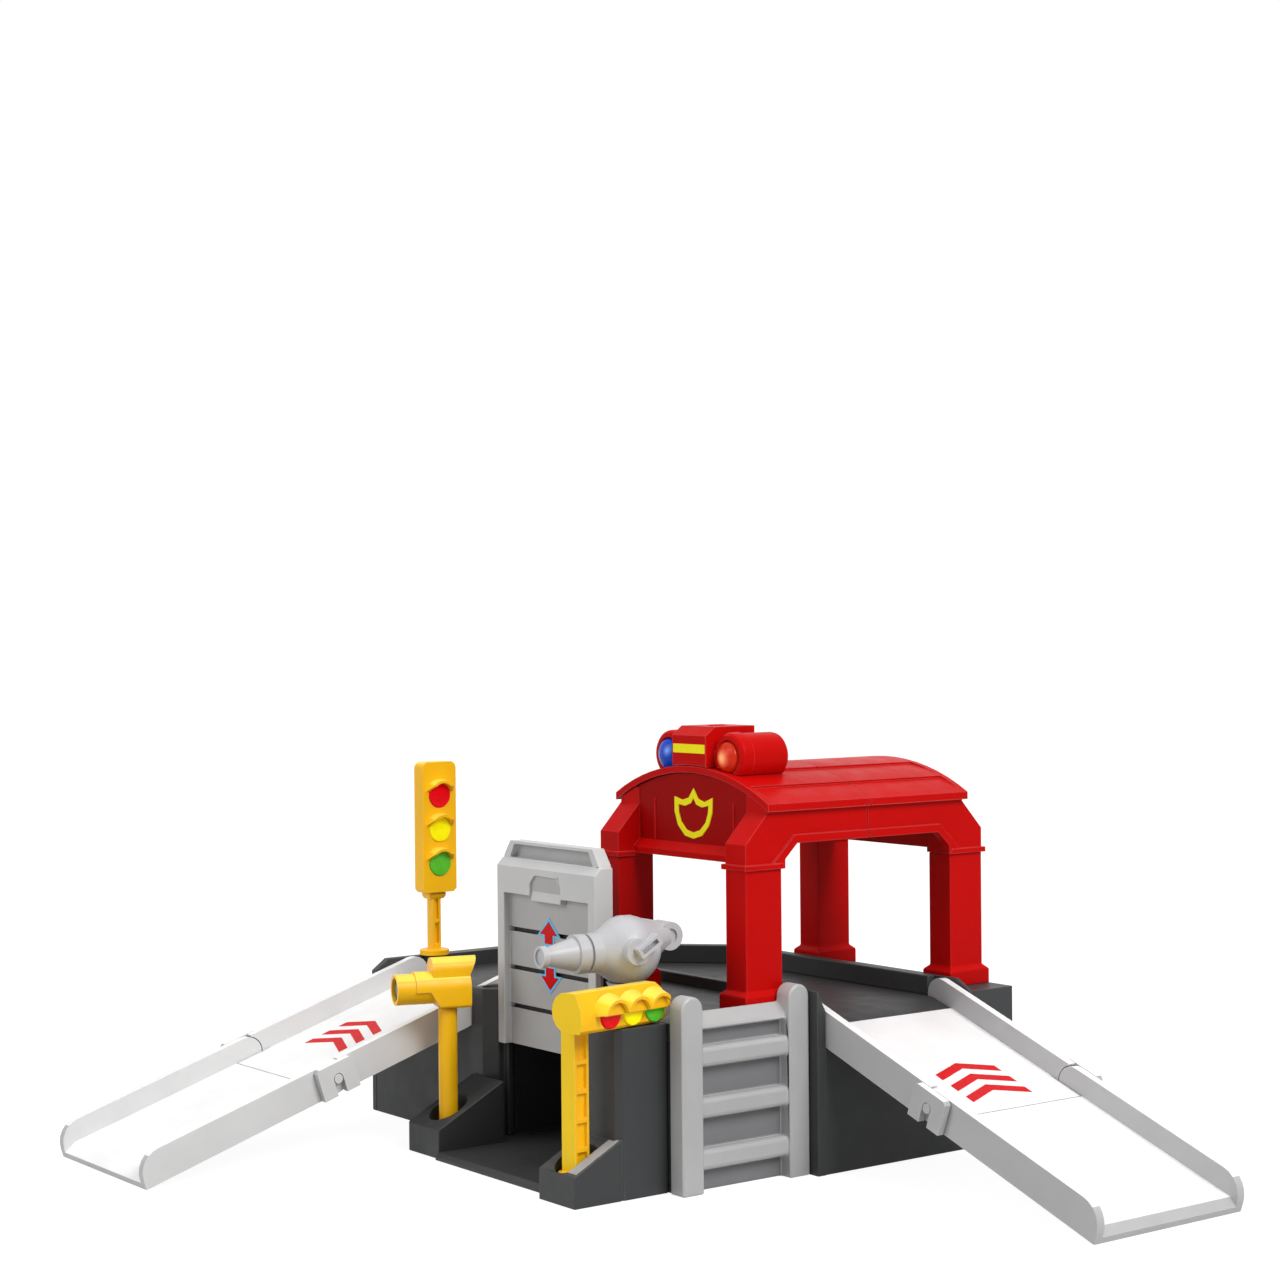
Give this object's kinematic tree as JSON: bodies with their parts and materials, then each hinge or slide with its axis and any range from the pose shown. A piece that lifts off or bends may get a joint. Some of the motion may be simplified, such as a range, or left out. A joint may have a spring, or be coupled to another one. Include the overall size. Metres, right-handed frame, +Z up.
{
  "type": "toy fire station",
  "caption": "Tabletop plastic toy fire station with a garage and sliding door, raised lane, hinged ramps, canopy with lamp unit, signals, camera and water cannon.",
  "frame": {"origin": "middle of the toy's outline, on the table that it stands on", "axes": "+X to the right along the garage front, towards the right ramp; +Y to the back, away from the left ramp; +Z up"},
  "size_m": [0.3043, 0.2666, 0.1437],
  "materials": {
    "dark_plastic": "satin moulded plastic",
    "lane_plastic": "satin moulded plastic",
    "pale_grey_plastic": "semi-gloss moulded plastic",
    "silver_grey_plastic": "semi-gloss moulded plastic",
    "red_plastic": "semi-gloss moulded plastic",
    "yellow_plastic": "semi-gloss moulded plastic",
    "ramp_plastic": "semi-gloss moulded plastic",
    "red_lens": "gloss",
    "yellow_lens": "gloss",
    "green_lens": "gloss",
    "blue_lens": "clear moulded plastic",
    "clear_lens": "clear moulded plastic",
    "black_plastic": "gloss",
    "metal": "plated",
    "circuit_board": "lacquered laminate"
  },
  "bodies": {
    "base": {"left_wall": "dark_plastic", "corner_wall": "dark_plastic", "back_wall": "dark_plastic", "rear_plinth": "dark_plastic", "right_wall": "dark_plastic", "front_wall": "dark_plastic", "door_post": "dark_plastic", "corner_pier": "dark_plastic", "left_foot": "dark_plastic", "cheek_post": "dark_plastic", "floor_plate": "dark_plastic", "garage_wall_left": "dark_plastic", "garage_wall_right": "dark_plastic", "floor_screw_left": "metal", "floor_screw_right": "metal", "ladder_wall": "dark_plastic", "deck_plate": "dark_plastic", "lane_plate": "lane_plastic", "lane_kerb": "dark_plastic", "left_parapet": "dark_plastic", "back_parapet": "dark_plastic", "ladder": "pale_grey_plastic", "post_front_left": "red_plastic", "post_front_right": "red_plastic", "post_rear_left": "red_plastic", "post_rear_right": "red_plastic", "canopy_frame_front": "red_plastic", "canopy_frame_rear": "red_plastic", "roof_front": "red_plastic", "roof_rear": "red_plastic", "lamp_housing": "red_plastic", "blue_lens": "blue_lens", "clear_lens": "clear_lens", "blue_lamp": "blue_lens", "amber_lamp": "clear_lens", "circuit_board": "circuit_board", "coin_cell": "metal", "battery_door": "red_plastic", "camera_post": "yellow_plastic", "low_signal_post": "yellow_plastic", "low_signal_head": "yellow_plastic", "low_signal_red_lens": "red_lens", "low_signal_yellow_lens": "yellow_lens", "low_signal_green_lens": "green_lens"},
    "garage_door": {"garage_door": "pale_grey_plastic"},
    "cannon_seat": {"cannon_seat": "silver_grey_plastic"},
    "cannon_barrel": {"cannon_barrel": "silver_grey_plastic"},
    "tall_signal": {"tall_signal_post": "yellow_plastic", "tall_signal_head": "yellow_plastic", "tall_signal_red_lens": "red_lens", "tall_signal_yellow_lens": "yellow_lens", "tall_signal_green_lens": "green_lens"},
    "camera_head": {"camera_head": "yellow_plastic", "camera_glass": "black_plastic"},
    "left_ramp_upper": {"left_ramp_upper": "ramp_plastic"},
    "left_ramp_lower": {"left_ramp_lower": "ramp_plastic"},
    "right_ramp_upper": {"right_ramp_upper": "ramp_plastic"},
    "right_ramp_lower": {"right_ramp_lower": "ramp_plastic"},
    "siren_button": {"siren_button": "red_plastic"}
  },
  "joints": [
    {"name": "door_slide", "type": "slide", "parent": "base", "child": "garage_door", "axis": [0, 0, 1], "range_m": [-0.0318, 0]},
    {"name": "cannon_swivel", "type": "hinge", "parent": "base", "child": "cannon_seat", "pos_m": [0.00174, -0.00558, 0.058], "axis": [0, 0, 1], "range_deg": [-54, 56]},
    {"name": "cannon_tilt", "type": "hinge", "parent": "cannon_seat", "child": "cannon_barrel", "pos_m": [0.00174, -0.00558, 0.0737], "axis": [-0.9945, 0.1045, 0], "range_deg": [-3, 35]},
    {"name": "tall_signal_swivel", "type": "hinge", "parent": "base", "child": "tall_signal", "pos_m": [-0.14666, 0.01542, 0.0555], "axis": [0, 0, 1], "continuous": true},
    {"name": "camera_swivel", "type": "hinge", "parent": "base", "child": "camera_head", "pos_m": [-0.07226, -0.02608, 0.0486], "axis": [0, 0, 1], "range_deg": [-90, 25]},
    {"name": "left_ramp_hinge", "type": "hinge", "parent": "base", "child": "left_ramp_upper", "pos_m": [-0.11516, 0.00562, 0.0501], "axis": [-1, 0, 0], "range_deg": [0, 55]},
    {"name": "left_ramp_fold", "type": "hinge", "parent": "left_ramp_upper", "child": "left_ramp_lower", "pos_m": [-0.11516, -0.06377, 0.02775], "axis": [-1, 0, 0], "range_deg": [0, 40]},
    {"name": "right_ramp_hinge", "type": "hinge", "parent": "base", "child": "right_ramp_upper", "pos_m": [0.02484, 0.08072, 0.0509], "axis": [0, -1, 0], "range_deg": [0, 55]},
    {"name": "right_ramp_fold", "type": "hinge", "parent": "right_ramp_upper", "child": "right_ramp_lower", "pos_m": [0.08528, 0.08072, 0.02926], "axis": [0, -1, 0], "range_deg": [0, 40]},
    {"name": "button_press", "type": "slide", "parent": "base", "child": "siren_button", "axis": [0, 0, 1], "range_m": [-0.0012, 0], "stiffness_N_per_m": 300, "springref_m": 0.0005}
  ]
}
